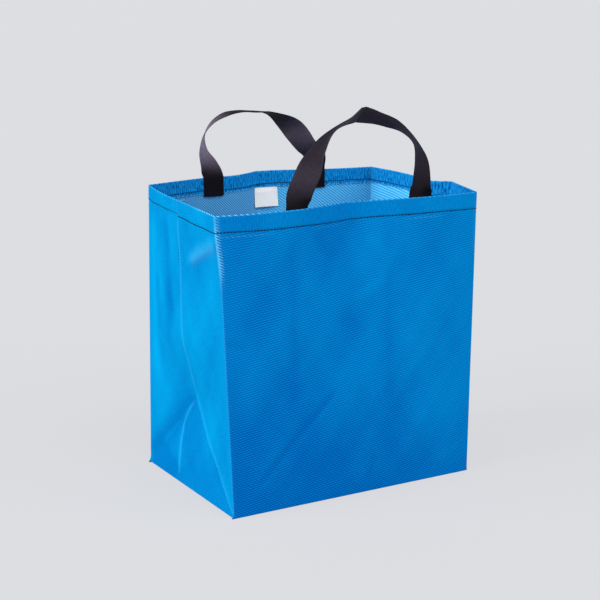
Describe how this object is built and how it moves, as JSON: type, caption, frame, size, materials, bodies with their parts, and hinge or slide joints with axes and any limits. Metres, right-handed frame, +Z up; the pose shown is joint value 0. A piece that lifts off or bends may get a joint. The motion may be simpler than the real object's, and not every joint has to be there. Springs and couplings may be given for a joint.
{
  "type": "shopping bag",
  "caption": "Open reusable shopping bag of coated woven fabric with a boxed base, a stitched hem, gusset folds and twisted webbing handles.",
  "frame": {"origin": "middle of the base, on the surface that the bag stands on", "axes": "+X along the wide front panel, towards the right of the bag as seen from the front; the front faces -Y; +Z up, out of the open mouth"},
  "size_m": [0.3254, 0.2541, 0.4198],
  "materials": {
    "blue_fabric": "smooth coated weave with a soft sheen",
    "black_webbing": "matt woven webbing",
    "white_label": "matt smooth weave",
    "navy_thread": "matt thread"
  },
  "bodies": {
    "root": {"bag_body": "blue_fabric", "front_handle": "black_webbing", "back_handle": "black_webbing", "label": "white_label", "hem_thread_front": "navy_thread", "hem_thread_back": "navy_thread"}
  },
  "joints": []
}
